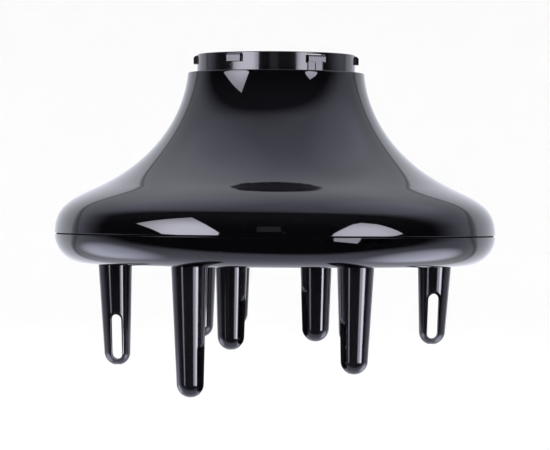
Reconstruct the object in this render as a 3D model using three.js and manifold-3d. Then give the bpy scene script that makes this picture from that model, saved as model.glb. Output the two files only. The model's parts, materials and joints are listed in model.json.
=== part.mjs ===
// Hair-dryer diffuser: a wide bell that turns on a snap-in collar, closed below by
// a rimmed bowl with twelve hollow, slotted fingers.
// Millimetres, +Z towards the dryer. Every height below is measured from the seam
// between bell and bowl; the whole group is then lowered so that the centre of the
// collar's open end is the origin.
import * as THREE from 'three';
import { mergeVertices } from 'three/addons/utils/BufferGeometryUtils.js';
import Module from 'manifold-3d';

const wasm = await Module();
wasm.setup();

// ---------------------------------------------------------------- driving sizes
const GAP = 0.3; // left between pieces that touch
const OVERLAP = 1; // how far a joined or cutting body runs past the face it meets
const SIXTH = Math.PI / 3;
const ROUND_STEPS = 36; // facets round a large turned piece
const HOLE_STEPS = 8; // facets round a vent or a screw hole

const RIM_RADIUS = 75.15;
const WALL = 2.0;
const SEAM_GAP = 0.4; // height of the groove between bell and bowl

const NECK = { top: 55.1, bore: 27.4, lip: 3.5, counterbore: 29.0, edge: 0.35 };
const BELL = { topRadius: 30.22, topLean: 0.075, topReach: 9.4, bendRadius: 60.9, bendHeight: 15.9,
  bendSlope: 0.433, bendReachUp: 26.5, bendReachDown: 10.3, rimReach: 9.0 };

const COLLAR = { outer: 27.0, inner: 24.6, top: 61.3, flangeRadius: 28.6, flangeHeight: 2.0 };
const LUG = { reach: 1.15, width: 5.3, bottom: 58.0, top: 60.9, chamfer: 0.7 };
const LATCH = { barWidth: 6.5, stemWidth: 5.4, top: 60.35, foot: 52.6, slit: 0.35 };
const RETAINER = { inner: 25.0, height: 2.3 };

const BOWL = { tubeRadius: 64.3, tubeDepth: 10.1, plateRadius: 61.2, plateBottom: -9.0, plateTop: -6.8,
  tubeReach: 1.5, plateReach: 1.2 };
const SPIGOT = { outer: 72.4, inner: 70.8, top: 3.5, foot: -5, fillet: 2.5 };

const OUTER_RING = { radius: 54.7, baseRadius: 5.9, lean: 0.035 };
const INNER_RING = { radius: 28.2, baseRadius: 5.3, lean: 0 };
const FINGER_CLEARANCE = 0.4; // round a finger in its hole
const TIP_TURNS = [60, 30]; // degrees from the tip, down the side of its dome
// Depth of each fingertip below the seam, anticlockwise from +X.
const OUTER_TIPS = [37.1, 39.5, 37.2, 44.9, 52.9, 45.0];
const INNER_TIPS = [33.8, 32.3, 32.3, 35.3, 38.3, 35.3];
const FINGER = { tipRadius: 4.45, wall: 1.5, flange: 1.5, flangeThickness: 1.5 };
const FINGER_STEPS = 12;
const SLOT = { width: 3.65, bottom: 2.0, top: 17.3, depth: 20 }; // heights are above the fingertip

const VENT_RADIUS = 3.8;
const VENT_ROWS = [{ radius: 57, turns: [-12, 0, 12] }, { radius: 46, turns: [-7.5, 7.5] },
  { radius: 35.5, turns: [0] }];
const CENTRE_VENTS = { radius: 13.5, hole: 3.0 };

const SCREW = { head: 2.7, headHeight: 1.2, shank: 1.2, shellLength: 8, spiderLength: 4.8 };
const SCREW_STEPS = 10;
const BOSS = { radius: 4.2, height: 1.8, recess: 1.6 };
const POST_RADIUS = 3.2;
const POST_REACH = 30; // highest point a post could have, before the bell's wall trims it
const POST_ROOT = 2; // the posts stand free of the rim up to this height
const POST_PILOT = 8;
const SPIDER = { armWidth: 16, armEnd: 61, ring: 23, bore: 17, thickness: 1.8, screwRadius: 41.5 };
const SPIDER_PILOT_FLOOR = 1; // plastic left under the spider's screws
const DEFLECTOR = { radius: 24, rimHeight: 11, rimThickness: 1.6, apex: 19, postRadius: 4, postRise: 1 };
const DEFLECTOR_STEPS = 24;

// --------------------------------------------------------------------- helpers
const point = (x, y) => new THREE.Vector2(x, y);
const degrees = THREE.MathUtils.degToRad;

function solid(geometry) {
  const bare = geometry.index ? geometry.toNonIndexed() : geometry.clone();
  bare.deleteAttribute('normal');
  bare.deleteAttribute('uv');
  const merged = mergeVertices(bare, 1e-4);
  const triangles = [];
  for (let i = 0; i < merged.index.count; i += 3) {
    const corners = [0, 1, 2].map((k) => merged.index.getX(i + k));
    if (new Set(corners).size === 3) triangles.push(...corners);
  }
  const vertProperties = new Float32Array(merged.attributes.position.array);
  return new wasm.Manifold(new wasm.Mesh({ numProp: 3, vertProperties, triVerts: new Uint32Array(triangles) }));
}

function geometryOf(body) {
  const { vertProperties, triVerts } = body.getMesh();
  const geometry = new THREE.BufferGeometry();
  geometry.setAttribute('position', new THREE.BufferAttribute(vertProperties, 3));
  geometry.setIndex(new THREE.BufferAttribute(triVerts, 1));
  geometry.computeVertexNormals();
  return geometry;
}

/** Turns a closed outline of (radius, height) points about the Z axis. */
function turned(outline, steps = ROUND_STEPS) {
  const points = THREE.ShapeUtils.area(outline) > 0 ? outline.slice() : outline.slice().reverse();
  points.push(points[0].clone());
  return solid(new THREE.LatheGeometry(points, steps).rotateX(Math.PI / 2));
}

function tube(inner, outer, bottom, top, steps = ROUND_STEPS) {
  return turned([point(inner, bottom), point(outer, bottom), point(outer, top), point(inner, top)], steps);
}

function rod(radius, bottom, top, steps = 12) {
  const geometry = new THREE.CylinderGeometry(radius, radius, top - bottom, steps);
  return solid(geometry.rotateX(Math.PI / 2).translate(0, 0, (bottom + top) / 2));
}

function block(x, width, z) {
  const geometry = new THREE.BoxGeometry(x[1] - x[0], width, z[1] - z[0]);
  return solid(geometry.translate((x[0] + x[1]) / 2, 0, (z[0] + z[1]) / 2));
}

/** Moves a body made on the +X side out to a radius, then round to an angle. */
const placed = (body, radius, angle) => body.translate([radius, 0, 0])
  .rotate([0, 0, THREE.MathUtils.radToDeg(angle)]);

const joined = (bodies) => bodies.reduce((all, body) => all.add(body));
const sixTimes = (make) => Array.from({ length: 6 }, (_, i) => make(i * SIXTH, i));
const thirds = [0, 1, 2].map((i) => SIXTH / 2 + 2 * i * SIXTH);
const SAME_ANGLE = 0.01; // radians

const glossBlack = new THREE.MeshStandardMaterial({ color: 0x0d0c10, roughness: 0.12, metalness: 0 });
const satinBlack = new THREE.MeshStandardMaterial({ color: 0x17161a, roughness: 0.35, metalness: 0 });
const steel = new THREE.MeshStandardMaterial({ color: 0x8a8a8c, roughness: 0.3, metalness: 1 });

const diffuser = new THREE.Group();
diffuser.position.z = -COLLAR.top;

function addPiece(name, body, material, parent = diffuser) {
  const mesh = new THREE.Mesh(geometryOf(body), material);
  mesh.name = name;
  parent.add(mesh);
  return mesh;
}

// ------------------------------------------------------------------------ bell
function bellCurves() {
  const top = point(BELL.topRadius, NECK.top - NECK.edge);
  const bend = point(BELL.bendRadius, BELL.bendHeight);
  const rim = point(RIM_RADIUS, SEAM_GAP / 2);
  const downTop = point(Math.sin(BELL.topLean), -Math.cos(BELL.topLean));
  const downBend = point(Math.cos(BELL.bendSlope), -Math.sin(BELL.bendSlope));
  return [
    new THREE.CubicBezierCurve(top, top.clone().addScaledVector(downTop, BELL.topReach),
      bend.clone().addScaledVector(downBend, -BELL.bendReachUp), bend),
    new THREE.CubicBezierCurve(bend, bend.clone().addScaledVector(downBend, BELL.bendReachDown),
      point(rim.x, rim.y + BELL.rimReach), rim),
  ];
}

/** Points down the bell's skin, moved inwards by a depth. */
function bellSkin(depth, steps) {
  const points = [];
  for (const curve of bellCurves()) {
    for (let i = points.length ? 1 : 0; i <= steps; i += 1) {
      const tangent = curve.getTangent(i / steps);
      const inward = point(tangent.y, -tangent.x);
      points.push(curve.getPoint(i / steps).addScaledVector(inward, depth));
    }
  }
  return points;
}

function upperBell() {
  const seat = NECK.top - NECK.lip;
  const boreEnd = seat - GAP - COLLAR.flangeHeight - GAP - RETAINER.height - GAP;
  const inside = bellSkin(WALL, 5).filter((p) => p.y < boreEnd).reverse();
  const shell = turned([
    point(NECK.bore, NECK.top), point(BELL.topRadius - NECK.edge, NECK.top),
    ...bellSkin(0, 6), ...inside,
    point(NECK.counterbore, boreEnd), point(NECK.counterbore, seat), point(NECK.bore, seat),
  ]);
  const core = bellSkin(WALL / 2, 6);
  const filled = turned([point(0, core.at(-1).y), point(0, core[0].y), ...core]);
  const postFoot = BOWL.plateTop + BOSS.height + GAP;
  const roots = filled.add(tube(0, RIM_RADIUS - 2 * WALL, postFoot - OVERLAP, POST_ROOT));
  const post = rod(POST_RADIUS, postFoot, POST_REACH);
  const pilot = rod(SCREW.shank + GAP, postFoot - OVERLAP, postFoot + POST_PILOT, HOLE_STEPS);
  const posts = thirds.map((angle) => placed(post, VENT_ROWS[0].radius, angle));
  const pilots = thirds.map((angle) => placed(pilot, VENT_ROWS[0].radius, angle));
  return shell.add(joined(posts).intersect(roots)).subtract(joined(pilots));
}

// ---------------------------------------------------------------- collar, latches
function lug(width, top) {
  const outline = new THREE.Shape([
    point(COLLAR.outer - OVERLAP, LUG.bottom), point(COLLAR.outer + LUG.reach, LUG.bottom),
    point(COLLAR.outer + LUG.reach, top - LUG.chamfer), point(COLLAR.outer + LUG.chamfer / 2, top),
    point(COLLAR.outer - OVERLAP, top),
  ]);
  const geometry = new THREE.ExtrudeGeometry(outline, { depth: width, bevelEnabled: false });
  return solid(geometry.translate(0, 0, -width / 2).rotateX(Math.PI / 2));
}

/** The tee of the latch, grown by a margin, as a block that crosses the collar's wall. */
function tee(margin) {
  const across = [COLLAR.inner - 2 * OVERLAP, COLLAR.outer + 3 * OVERLAP];
  const bar = block(across, LATCH.barWidth + 2 * margin, [LUG.bottom - margin, LATCH.top + margin]);
  const stem = block(across, LATCH.stemWidth + 2 * margin, [LATCH.foot - margin, LATCH.top]);
  return bar.add(stem);
}

const latchAngles = [5 * SIXTH, 2 * SIXTH];

function snapCollar() {
  const flangeTop = NECK.top - NECK.lip - GAP;
  const foot = flangeTop - COLLAR.flangeHeight;
  const ring = turned([
    point(COLLAR.inner, foot), point(COLLAR.flangeRadius, foot), point(COLLAR.flangeRadius, flangeTop),
    point(COLLAR.outer, flangeTop), point(COLLAR.outer, COLLAR.top), point(COLLAR.inner, COLLAR.top),
  ]);
  const lugAngles = [0, 1, 3, 4].map((i) => i * SIXTH);
  const lugs = lugAngles.map((angle) => placed(lug(LUG.width, LUG.top), 0, angle));
  const windows = latchAngles.map((angle) => placed(tee(LATCH.slit), 0, angle));
  return ring.add(joined(lugs)).subtract(joined(windows));
}

function snapLatch(angle) {
  const wall = tube(COLLAR.inner, COLLAR.outer, LATCH.foot, LATCH.top);
  return wall.intersect(placed(tee(0), 0, angle)).add(placed(lug(LATCH.barWidth, LATCH.top), 0, angle));
}

function collarRetainer() {
  const top = NECK.top - NECK.lip - GAP - COLLAR.flangeHeight - GAP;
  return tube(RETAINER.inner, NECK.counterbore - GAP, top - RETAINER.height, top);
}

// ------------------------------------------------------------------------ bowl
function rimArc(steps) {
  const first = Math.asin(SEAM_GAP / 2 / BOWL.tubeDepth);
  return Array.from({ length: steps + 1 }, (_, i) => {
    const turn = first + (Math.PI / 2 - first) * (i / steps);
    return point(BOWL.tubeRadius + (RIM_RADIUS - BOWL.tubeRadius) * Math.cos(turn),
      -BOWL.tubeDepth * Math.sin(turn));
  });
}

/** Places of the vents between the fingers, less those that the bell's screws take. */
function ventPlaces() {
  const taken = (radius, angle) => radius === VENT_ROWS[0].radius
    && thirds.some((third) => Math.abs(angle - third) < SAME_ANGLE);
  const places = sixTimes((start) => VENT_ROWS.flatMap(({ radius, turns }) => turns
    .map((turn) => ({ radius, angle: start + SIXTH / 2 + degrees(turn) }))));
  return places.flat().filter(({ radius, angle }) => !taken(radius, angle));
}

function lowerBowl() {
  const lead = new THREE.CubicBezierCurve(point(BOWL.tubeRadius, -BOWL.tubeDepth),
    point(BOWL.tubeRadius - BOWL.tubeReach, -BOWL.tubeDepth),
    point(BOWL.plateRadius + BOWL.plateReach, BOWL.plateBottom), point(BOWL.plateRadius, BOWL.plateBottom));
  const shell = turned([
    ...rimArc(6), ...lead.getPoints(3).slice(1), point(0, BOWL.plateBottom),
    point(0, BOWL.plateTop), point(SPIGOT.inner - SPIGOT.fillet, BOWL.plateTop),
    point(SPIGOT.inner, SPIGOT.foot), point(SPIGOT.inner, SPIGOT.top),
    point(SPIGOT.outer, SPIGOT.top), point(SPIGOT.outer, -SEAM_GAP / 2),
  ]);
  const { plateTop, plateBottom } = BOWL;
  const through = [plateBottom - OVERLAP, plateTop + BOSS.height + OVERLAP];
  const screwHoles = [...thirds.map((angle) => [VENT_ROWS[0].radius, angle]), [0, 0]];
  const spiderScrews = sixTimes((angle) => [SPIDER.screwRadius, angle]);
  const bosses = [...screwHoles, ...spiderScrews].map(([radius, angle]) => placed(
    rod(BOSS.radius, plateTop - OVERLAP, plateTop + BOSS.height), radius, angle));
  const socket = ({ baseRadius }) => rod(baseRadius + FINGER_CLEARANCE, ...through);
  const shankHole = rod(SCREW.shank + GAP, ...through, HOLE_STEPS);
  const headRecess = rod(SCREW.head + GAP, plateBottom - OVERLAP, plateBottom + BOSS.recess);
  const pilot = rod(SCREW.shank + GAP, plateBottom + SPIDER_PILOT_FLOOR, through[1], HOLE_STEPS);
  const vent = rod(VENT_RADIUS, ...through, HOLE_STEPS);
  const centreVent = rod(CENTRE_VENTS.hole, ...through, HOLE_STEPS);
  const cuts = [
    ...sixTimes((angle) => placed(socket(OUTER_RING), OUTER_RING.radius, angle)),
    ...sixTimes((angle) => placed(socket(INNER_RING), INNER_RING.radius, angle)),
    ...ventPlaces().map(({ radius, angle }) => placed(vent, radius, angle)),
    ...sixTimes((angle) => placed(centreVent, CENTRE_VENTS.radius, angle)),
    ...screwHoles.map(([radius, angle]) => placed(shankHole, radius, angle)),
    ...screwHoles.map(([radius, angle]) => placed(headRecess, radius, angle)),
    ...spiderScrews.map(([radius, angle]) => placed(pilot, radius, angle)),
  ];
  return shell.add(joined(bosses)).subtract(joined(cuts));
}

// --------------------------------------------------------------------- fingers
function finger({ baseRadius, lean }, tipDepth) {
  const tip = -tipDepth;
  const { tipRadius, wall, flange, flangeThickness } = FINGER;
  const under = BOWL.plateTop + GAP;
  const top = under + flangeThickness;
  const dome = TIP_TURNS.map(degrees).map((turn) => point(
    tipRadius * Math.sin(turn), tip + tipRadius * (1 - Math.cos(turn))));
  const skin = turned([
    point(baseRadius - wall, top), point(baseRadius + flange, top), point(baseRadius + flange, under),
    point(baseRadius, under), point(tipRadius, tip + tipRadius), ...dome, point(0, tip),
    point(0, tip + wall), point(tipRadius - wall, tip + tipRadius),
  ], FINGER_STEPS);
  const half = SLOT.width / 2;
  const outline = new THREE.Shape();
  outline.absarc(0, tip + SLOT.top - half, half, 0, Math.PI);
  outline.absarc(0, tip + SLOT.bottom + half, half, Math.PI, 2 * Math.PI);
  const extrusion = { depth: SLOT.depth, bevelEnabled: false, curveSegments: 4 };
  const slot = solid(new THREE.ExtrudeGeometry(outline, extrusion)
    .translate(0, 0, -SLOT.depth / 2).rotateX(Math.PI / 2));
  return skin.subtract(slot).warp((v) => { v[0] += lean * Math.min(0, v[2] - BOWL.plateBottom); });
}

function addFingers(ring, tips, prefix) {
  const group = new THREE.Group();
  tips.forEach((depth, i) => {
    const mesh = addPiece(`${prefix}_finger_${i + 1}`, finger(ring, depth), glossBlack, group);
    mesh.rotation.z = i * SIXTH;
    mesh.position.set(ring.radius * Math.cos(i * SIXTH), ring.radius * Math.sin(i * SIXTH), 0);
  });
  diffuser.add(group);
}

/** Six-armed plate that clamps the fingers' flanges down onto the bowl. */
function fingerSpider() {
  const bottom = BOWL.plateTop + 2 * GAP + FINGER.flangeThickness;
  const top = bottom + SPIDER.thickness;
  const arm = block([SPIDER.bore + 2 * OVERLAP, SPIDER.armEnd], SPIDER.armWidth, [bottom, top]);
  const arms = sixTimes((angle) => placed(arm, 0, angle));
  const holes = (radius, place) => {
    const hole = rod(radius, bottom - OVERLAP, top + OVERLAP);
    return sixTimes((angle) => placed(hole, place, angle));
  };
  return tube(SPIDER.bore, SPIDER.ring, bottom, top).add(joined(arms)).subtract(joined([
    ...holes(OUTER_RING.baseRadius - FINGER.wall, OUTER_RING.radius),
    ...holes(INNER_RING.baseRadius - FINGER.wall, INNER_RING.radius),
    ...holes(SCREW.shank + GAP, SPIDER.screwRadius),
  ]));
}

// ------------------------------------------------------------ deflector, screws
function airDeflector() {
  const { radius, rimHeight, rimThickness, apex, postRadius, postRise } = DEFLECTOR;
  const foot = BOWL.plateTop + BOSS.height + GAP;
  const dome = new THREE.QuadraticBezierCurve(point(radius, rimHeight + rimThickness),
    point(radius / 3, rimHeight + 2 * rimThickness), point(0, apex));
  return turned([
    point(0, foot + POST_PILOT), point(SCREW.shank + GAP, foot + POST_PILOT),
    point(SCREW.shank + GAP, foot), point(postRadius, foot), point(postRadius, rimHeight - postRise),
    point(radius, rimHeight), ...dome.getPoints(4),
  ], DEFLECTOR_STEPS);
}

/** A pan-head screw: the head lies from seat outwards, the shank runs the other way. */
function screw(seat, direction, length) {
  const { head, headHeight, shank } = SCREW;
  const outward = seat + direction * headHeight;
  return turned([
    point(0, outward), point(head, outward), point(head, seat),
    point(shank, seat), point(shank, seat - direction * length), point(0, seat - direction * length),
  ], SCREW_STEPS);
}

function addScrews(prefix, radius, angles, seat, direction, length) {
  angles.forEach((angle, i) => {
    const mesh = addPiece(`${prefix}_${i + 1}`, screw(seat, direction, length), steel);
    mesh.position.set(radius * Math.cos(angle), radius * Math.sin(angle), 0);
  });
}

// -------------------------------------------------------------------- assembly
addPiece('snap_collar', snapCollar(), satinBlack);
addPiece('front_latch', snapLatch(latchAngles[0]), satinBlack);
addPiece('rear_latch', snapLatch(latchAngles[1]), satinBlack);
addPiece('collar_retainer', collarRetainer(), satinBlack);
addPiece('upper_bell', upperBell(), glossBlack);
addPiece('lower_bowl', lowerBowl(), glossBlack);
addPiece('air_deflector', airDeflector(), satinBlack);
addPiece('finger_spider', fingerSpider(), satinBlack);
addFingers(OUTER_RING, OUTER_TIPS, 'outer');
addFingers(INNER_RING, INNER_TIPS, 'inner');

const recessFace = BOWL.plateBottom + BOSS.recess - GAP;
const spiderTop = BOWL.plateTop + 3 * GAP + FINGER.flangeThickness + SPIDER.thickness;
addScrews('bell_screw', VENT_ROWS[0].radius, thirds, recessFace, -1, SCREW.shellLength);
addScrews('deflector_screw', 0, [0], recessFace, -1, SCREW.shellLength);
addScrews('spider_screw', SPIDER.screwRadius, sixTimes((angle) => angle), spiderTop, 1, SCREW.spiderLength);

const group = new THREE.Group();
group.add(diffuser);
export default group;
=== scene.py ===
"""The looks of a gloss black hair-dryer diffuser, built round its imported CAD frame.

Every shape is worked out in millimetres, with heights measured from the seam between
bell and bowl, and is turned into metres in the frame's own axes as its mesh is made.
"""

import json
import math

import bpy
from mathutils import Matrix, Vector

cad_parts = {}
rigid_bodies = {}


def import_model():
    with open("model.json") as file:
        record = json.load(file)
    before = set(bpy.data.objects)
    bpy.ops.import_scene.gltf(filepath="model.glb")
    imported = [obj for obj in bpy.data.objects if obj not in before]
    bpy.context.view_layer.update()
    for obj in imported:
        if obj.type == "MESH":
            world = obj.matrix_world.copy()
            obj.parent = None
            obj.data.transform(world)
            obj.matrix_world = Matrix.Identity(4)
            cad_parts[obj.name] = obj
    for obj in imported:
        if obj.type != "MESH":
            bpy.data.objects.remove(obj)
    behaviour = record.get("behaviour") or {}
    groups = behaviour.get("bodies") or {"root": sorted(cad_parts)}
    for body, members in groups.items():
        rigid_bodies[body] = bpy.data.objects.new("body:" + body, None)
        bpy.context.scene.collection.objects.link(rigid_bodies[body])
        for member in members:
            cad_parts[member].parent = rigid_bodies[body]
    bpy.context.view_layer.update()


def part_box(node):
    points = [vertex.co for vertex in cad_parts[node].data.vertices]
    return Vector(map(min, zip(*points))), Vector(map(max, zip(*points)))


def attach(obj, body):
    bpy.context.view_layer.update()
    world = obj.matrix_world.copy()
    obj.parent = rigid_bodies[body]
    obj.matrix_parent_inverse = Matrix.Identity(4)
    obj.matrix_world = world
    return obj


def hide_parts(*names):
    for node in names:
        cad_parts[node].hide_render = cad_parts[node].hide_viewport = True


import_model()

MM = 0.001
SIXTH = math.pi / 3

# ------------------------------------------------------------------ driving sizes
# Millimetres; the names on one line belong together.
SEAM_GAP = 0.4
SPIGOT_TOP = 3.5
SEAM_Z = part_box("lower_bowl")[1].z / MM - SPIGOT_TOP
RIM_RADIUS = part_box("upper_bell")[1].x / MM
NECK_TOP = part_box("upper_bell")[1].z / MM - SEAM_Z
COLLAR_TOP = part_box("snap_collar")[1].z / MM - SEAM_Z
COLLAR_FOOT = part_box("snap_collar")[0].z / MM - SEAM_Z
RETAINER_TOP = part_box("collar_retainer")[1].z / MM - SEAM_Z
RETAINER_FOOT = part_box("collar_retainer")[0].z / MM - SEAM_Z

GAP = 0.3
OVERLAP = 1.0
WALL = 2.0
NECK_BORE, NECK_LIP, COUNTERBORE = 27.4, 3.5, 29.0
NECK_EDGE = 0.35
BELL_TOP_RADIUS, BELL_TOP_LEAN, BELL_TOP_REACH = 30.22, 0.075, 9.4
BEND = (60.9, 15.9)
BEND_SLOPE, BEND_REACH_UP, BEND_REACH_DOWN, RIM_REACH = 0.433, 26.5, 10.3, 9.0

COLLAR_OUTER, COLLAR_INNER, FLANGE_RADIUS, FLANGE_HEIGHT = 27.0, 24.6, 28.6, 2.0
LUG_REACH, LUG_WIDTH, LUG_BOTTOM, LUG_TOP, LUG_CHAMFER = 1.15, 5.3, 58.0, 60.9, 0.7
LATCH_BAR, LATCH_STEM, LATCH_TOP, LATCH_FOOT, LATCH_SLIT = 6.5, 5.4, 60.35, 52.6, 0.35
LATCH_FLAT, SCORE_WIDTH, SCORE_DEPTH = 0.14, 0.32, 0.5
RETAINER_BORE = 25.0
LATCHES = {"front_latch": 5 * SIXTH, "rear_latch": 2 * SIXTH}

TUBE_RADIUS, TUBE_DEPTH, TUBE_REACH = 64.3, 10.1, 1.5
PLATE_RADIUS, PLATE_BOTTOM, PLATE_TOP, PLATE_REACH = 61.2, -9.0, -6.8, 1.2
SPIGOT_OUTER, SPIGOT_INNER, SPIGOT_FOOT, SPIGOT_FILLET = 72.4, 70.8, -5.0, 2.5
SEAM_STEP_RADIUS, SEAM_STEP_TOP, SEAM_FILLET = 74.5, 0.12, 0.1
# Painted shade: outside the seam's step, the bowl's gloss comes back between these distances.
GROOVE_SHADE_FADE = (0.1, 0.2)

FINGER_RINGS = {
    "outer": {"radius": 54.7, "base": 5.9, "lean": 0.035},
    "inner": {"radius": 28.2, "base": 5.3, "lean": 0.0},
}
FINGER_CLEARANCE = 0.4
TIP_RADIUS, FINGER_WALL, FLANGE_REACH, FLANGE_THICK = 4.45, 1.5, 1.5, 1.5
SLOT_WIDTH, SLOT_BOTTOM, SLOT_TOP, SLOT_FLARE = 3.65, 2.0, 17.3, 0.75
SLOT_FLARE_FROM, SLOT_REACH = 3.4, 8.0
GROOVE_WIDTH, GROOVE_DEPTH, GROOVE_TURN = 1.4, 0.14, 78

VENT_RADIUS = 3.8
VENT_ROWS = ((57.0, (-12.0, 0.0, 12.0)), (46.0, (-7.5, 7.5)), (35.5, (0.0,)))
CENTRE_VENT_PLACE, CENTRE_VENT_RADIUS = 13.5, 3.0

SCREW_HEAD, SCREW_HEAD_HEIGHT, SCREW_SHANK, SCREW_POINT = 2.7, 1.2, 1.2, 0.25
SHELL_SCREW, SPIDER_SCREW = 8.0, 4.8
BOSS_RADIUS, BOSS_HEIGHT, RECESS = 4.2, 1.8, 1.6
POST_RADIUS, POST_REACH, POST_PILOT = 3.2, 30.0, 8.0
CORE_FOOT, TRIM_OVERLAP = 0.5, (0.6, 1.0)
POST_PLACES = [(VENT_ROWS[0][0], SIXTH / 2 + 2 * i * SIXTH) for i in range(3)]
SAME_ANGLE = 0.01
CROSS_REACH, CROSS_FLOOR, CROSS_WIDTH, CROSS_DEPTH, CROSS_TURN = 1.5, 0.5, 0.6, 0.8, 0.4
SPIDER_ARM, SPIDER_END, SPIDER_RING, SPIDER_BORE = 16.0, 61.0, 23.0, 17.0
SPIDER_THICK, SPIDER_SCREWS = 1.8, 41.5
DEFLECTOR_RADIUS, DEFLECTOR_RIM, DEFLECTOR_EDGE = 24.0, 11.0, 1.6
DEFLECTOR_APEX, DEFLECTOR_POST, DEFLECTOR_POST_RISE = 19.0, 4.0, 1.0


# ------------------------------------------------------------------ mesh helpers
def new_object(name, vertices, faces):
    """A mesh object from points in millimetres above the seam."""
    mesh = bpy.data.meshes.new(name)
    mesh.from_pydata([(x * MM, y * MM, (z + SEAM_Z) * MM) for x, y, z in vertices], [], faces)
    mesh.validate()
    obj = bpy.data.objects.new(name, mesh)
    bpy.context.scene.collection.objects.link(obj)
    return obj


def rounded(corners, steps=5):
    """A closed outline of (x, y, fillet) corners, with each filleted corner as an arc."""
    points = []
    count = len(corners)
    for i, (x, y, fillet) in enumerate(corners):
        here = Vector((x, y))
        if fillet <= 0:
            points.append(here)
            continue
        before = (Vector(corners[i - 1][:2]) - here).normalized()
        after = (Vector(corners[(i + 1) % count][:2]) - here).normalized()
        half = before.angle(after) / 2
        if half > math.radians(88):
            points.append(here)
            continue
        reach = fillet / math.tan(half)
        centre = here + (before + after).normalized() * (fillet / math.sin(half))
        start = here + before * reach - centre
        end = here + after * reach - centre
        turn = start.angle_signed(end)
        for k in range(steps + 1):
            arm = start.copy()
            arm.rotate(Matrix.Rotation(-turn * k / steps, 2))
            points.append(centre + arm)
    return points


def polar(radius, angle):
    return (radius * math.cos(angle), radius * math.sin(angle))


def turned(name, outline, steps=192, centre=(0.0, 0.0)):
    """Turns a closed outline of (radius, height) about a vertical axis.

    A point on the axis becomes one vertex, shared by all the faces round it.
    """
    vertices, rows = [], []
    for radius, height in outline:
        if radius < 1e-6:
            rows.append([len(vertices)] * steps)
            vertices.append((*centre, height))
            continue
        rows.append(list(range(len(vertices), len(vertices) + steps)))
        for k in range(steps):
            x, y = polar(radius, 2 * math.pi * k / steps)
            vertices.append((centre[0] + x, centre[1] + y, height))
    faces = []
    for i, row in enumerate(rows):
        following = rows[(i + 1) % len(rows)]
        for k in range(steps):
            n = (k + 1) % steps
            face = [row[k], row[n], following[n], following[k]]
            face = [v for j, v in enumerate(face) if v != face[j - 1]]
            if len(face) > 2:
                faces.append(face)
    return outward(new_object(name, vertices, faces))


def outward(obj):
    """Turns the faces of a closed mesh to point out."""
    mesh = obj.data
    volume = 0.0
    for face in mesh.polygons:
        corners = [mesh.vertices[v].co for v in face.vertices]
        for a, b in zip(corners[1:], corners[2:]):
            volume += corners[0].dot(a.cross(b))
    if volume < 0:
        mesh.flip_normals()
    return obj


def prism(name, outline, low, high, to_place):
    """Extrudes a closed outline between two depths; to_place maps (x, y, depth) to a point."""
    count = len(outline)
    vertices = [to_place(x, y, depth) for depth in (low, high) for x, y in outline]
    faces = [list(range(count)), list(range(2 * count - 1, count - 1, -1))]
    for i in range(count):
        n = (i + 1) % count
        faces.append([i, i + count, n + count, n])
    return outward(new_object(name, vertices, faces))


def about_axis(angle, radius=0.0):
    """Maps (out, up, across) on the side at an angle to a point."""
    c, s = math.cos(angle), math.sin(angle)

    def to_point(out, up, across):
        out += radius
        return (out * c - across * s, out * s + across * c, up)

    return to_point


def block(out, across, up, angle):
    """A box on the side at an angle, from its ranges outwards, across and up."""
    outline = [(out[0], up[0]), (out[1], up[0]), (out[1], up[1]), (out[0], up[1])]
    return prism("block", outline, across[0], across[1], about_axis(angle))


def rod(radius, bottom, top, place=(0.0, 0.0), steps=48):
    """An upright rod at a place, which is a (radius, angle) from the main axis."""
    return turned("rod", [(0, bottom), (radius, bottom), (radius, top), (0, top)], steps, polar(*place))


def ring_of_six(radius):
    return [(radius, i * SIXTH) for i in range(6)]


def combine(obj, tools, operation):
    """Joins the tools to an object, or cuts it with them, and removes the tools."""
    for tool in tools:
        modifier = obj.modifiers.new(operation, "BOOLEAN")
        modifier.operation = operation
        modifier.object = tool
        modifier.solver = "MANIFOLD"
    bake_modifiers(obj)
    for tool in tools:
        bpy.data.meshes.remove(tool.data)
    return obj


def bake_modifiers(obj):
    """Replaces an object's mesh by what its modifiers make of it."""
    graph = bpy.context.evaluated_depsgraph_get()
    mesh = bpy.data.meshes.new_from_object(obj.evaluated_get(graph))
    old = obj.data
    obj.modifiers.clear()
    obj.data = mesh
    bpy.data.meshes.remove(old)


def finished(obj, name, body, material, nodes, edge=0.0, crease=35):
    """Names, bevels and shades a piece, puts it on its body and lets it stand for its CAD nodes."""
    obj.name = obj.data.name = name
    crease_angle = math.radians(crease)
    if edge:
        bevel = obj.modifiers.new("edges", "BEVEL")
        bevel.width = edge * MM
        bevel.segments = 3
        bevel.limit_method = "ANGLE"
        bevel.angle_limit = crease_angle
        bevel.harden_normals = False
        bake_modifiers(obj)
        obj.data.name = name
    obj.data.shade_smooth()
    obj.data.set_sharp_from_angle(angle=crease_angle)
    weighted = obj.modifiers.new("even_normals", "WEIGHTED_NORMAL")
    weighted.keep_sharp = True
    obj.data.materials.clear()
    obj.data.materials.append(material)
    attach(obj, body)
    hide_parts(*nodes)
    return obj


# --------------------------------------------------------------------- materials
# Colours are linear; the lengths that materials take are metres.
BLACK = (0.0014, 0.0013, 0.0018)
FINGER_BLACK = (0.0085, 0.0078, 0.0112)
COLLAR_BLACK = (0.006, 0.0056, 0.0066)
DUST = (0.11, 0.11, 0.12)
STEEL_DULL, STEEL_BRIGHT = (0.33, 0.33, 0.34), (0.56, 0.56, 0.55)
PLASTIC_IOR = 1.5
SCRATCH_SETS = (((0.3, 0.5, 0.9), 170.0, 0.004), ((1.1, -0.4, 2.2), 210.0, 0.003))
SPECK_SETS = ((260.0, 0.075, 0.04), (900.0, 0.16, 0.012))


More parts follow.
